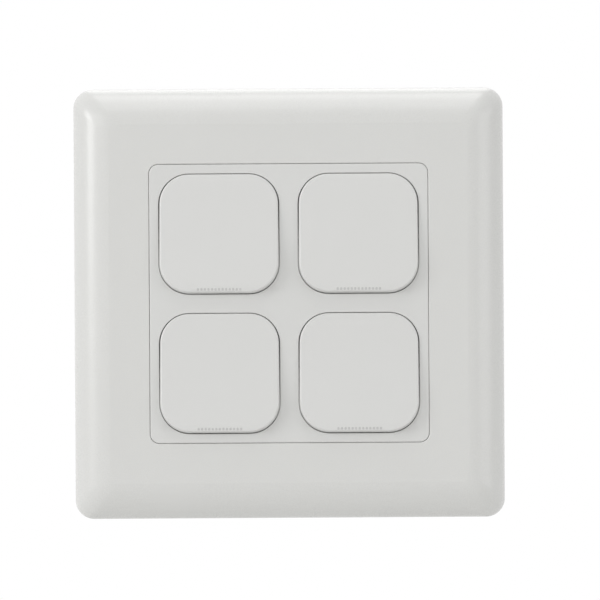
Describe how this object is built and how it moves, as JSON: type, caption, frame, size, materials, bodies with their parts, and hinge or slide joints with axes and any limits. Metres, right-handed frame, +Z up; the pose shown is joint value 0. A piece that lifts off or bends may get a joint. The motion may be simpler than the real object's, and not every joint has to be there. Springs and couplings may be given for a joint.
{
  "type": "four-gang light switch",
  "caption": "Square white wall switch plate with a rounded clip-on surround, a flush insert of rocker switches and a screw-terminal mechanism behind.",
  "frame": {"origin": "midway between the two fixing holes, on the wall surface", "axes": "+X to the right seen from the front, +Y into the wall, +Z up"},
  "size_m": [0.086, 0.0282, 0.086],
  "materials": {
    "white_plastic": "satin moulded",
    "housing_plastic": "matt moulded",
    "plunger_nylon": "plain",
    "terminal_brass": "stamped",
    "contact_silver": "silver alloy",
    "screw_steel": "zinc plated"
  },
  "bodies": {
    "switch_body": {"surround_frame": "white_plastic", "switch_plate": "white_plastic", "mechanism_housing": "housing_plastic", "housing_screws": "screw_steel", "terminal_screws": "screw_steel", "fixed_contacts": "contact_silver", "common_terminal_1": "terminal_brass", "common_terminal_2": "terminal_brass", "common_terminal_3": "terminal_brass", "common_terminal_4": "terminal_brass", "live_terminal_1": "terminal_brass", "live_terminal_2": "terminal_brass", "live_terminal_3": "terminal_brass", "live_terminal_4": "terminal_brass"},
    "rocker_1": {"rocker_1": "white_plastic", "plunger_spring_1": "screw_steel"},
    "plunger_1": {"plunger_1": "plunger_nylon"},
    "contact_arm_1": {"contact_arm_1": "terminal_brass", "moving_contact_1": "contact_silver"},
    "rocker_2": {"rocker_2": "white_plastic", "plunger_spring_2": "screw_steel"},
    "plunger_2": {"plunger_2": "plunger_nylon"},
    "contact_arm_2": {"contact_arm_2": "terminal_brass", "moving_contact_2": "contact_silver"},
    "rocker_3": {"rocker_3": "white_plastic", "plunger_spring_3": "screw_steel"},
    "plunger_3": {"plunger_3": "plunger_nylon"},
    "contact_arm_3": {"contact_arm_3": "terminal_brass", "moving_contact_3": "contact_silver"},
    "rocker_4": {"rocker_4": "white_plastic", "plunger_spring_4": "screw_steel"},
    "plunger_4": {"plunger_4": "plunger_nylon"},
    "contact_arm_4": {"contact_arm_4": "terminal_brass", "moving_contact_4": "contact_silver"}
  },
  "joints": [
    {"name": "rocker_1_tilt", "type": "hinge", "parent": "switch_body", "child": "rocker_1", "pos_m": [-0.01383, -0.0071, 0.01383], "axis": [1, 0, 0], "range_deg": [0, 8]},
    {"name": "plunger_1_slide", "type": "slide", "parent": "rocker_1", "child": "plunger_1", "axis": [0, 0.9976, -0.0698], "range_m": [-0.0008, 0], "stiffness_N_per_m": 300, "deforming": ["plunger_spring_1"]},
    {"name": "contact_arm_1_swing", "type": "hinge", "parent": "switch_body", "child": "contact_arm_1", "pos_m": [-0.01383, 0.0056, 0.01383], "axis": [1, 0, 0], "range_deg": [-16, 0]},
    {"name": "rocker_2_tilt", "type": "hinge", "parent": "switch_body", "child": "rocker_2", "pos_m": [0.01383, -0.0071, 0.01383], "axis": [1, 0, 0], "range_deg": [0, 8]},
    {"name": "plunger_2_slide", "type": "slide", "parent": "rocker_2", "child": "plunger_2", "axis": [0, 0.9976, -0.0698], "range_m": [-0.0008, 0], "stiffness_N_per_m": 300, "deforming": ["plunger_spring_2"]},
    {"name": "contact_arm_2_swing", "type": "hinge", "parent": "switch_body", "child": "contact_arm_2", "pos_m": [0.01383, 0.0056, 0.01383], "axis": [1, 0, 0], "range_deg": [-16, 0]},
    {"name": "rocker_3_tilt", "type": "hinge", "parent": "switch_body", "child": "rocker_3", "pos_m": [-0.01383, -0.0071, -0.01383], "axis": [1, 0, 0], "range_deg": [0, 8]},
    {"name": "plunger_3_slide", "type": "slide", "parent": "rocker_3", "child": "plunger_3", "axis": [0, 0.9976, -0.0698], "range_m": [-0.0008, 0], "stiffness_N_per_m": 300, "deforming": ["plunger_spring_3"]},
    {"name": "contact_arm_3_swing", "type": "hinge", "parent": "switch_body", "child": "contact_arm_3", "pos_m": [-0.01383, 0.0056, -0.01383], "axis": [1, 0, 0], "range_deg": [-16, 0]},
    {"name": "rocker_4_tilt", "type": "hinge", "parent": "switch_body", "child": "rocker_4", "pos_m": [0.01383, -0.0071, -0.01383], "axis": [1, 0, 0], "range_deg": [0, 8]},
    {"name": "plunger_4_slide", "type": "slide", "parent": "rocker_4", "child": "plunger_4", "axis": [0, 0.9976, -0.0698], "range_m": [-0.0008, 0], "stiffness_N_per_m": 300, "deforming": ["plunger_spring_4"]},
    {"name": "contact_arm_4_swing", "type": "hinge", "parent": "switch_body", "child": "contact_arm_4", "pos_m": [0.01383, 0.0056, -0.01383], "axis": [1, 0, 0], "range_deg": [-16, 0]}
  ],
  "couplings": [
    {"joint": "contact_arm_1_swing", "follows": "rocker_1_tilt", "ratio": -2},
    {"joint": "contact_arm_2_swing", "follows": "rocker_2_tilt", "ratio": -2},
    {"joint": "contact_arm_3_swing", "follows": "rocker_3_tilt", "ratio": -2},
    {"joint": "contact_arm_4_swing", "follows": "rocker_4_tilt", "ratio": -2}
  ]
}
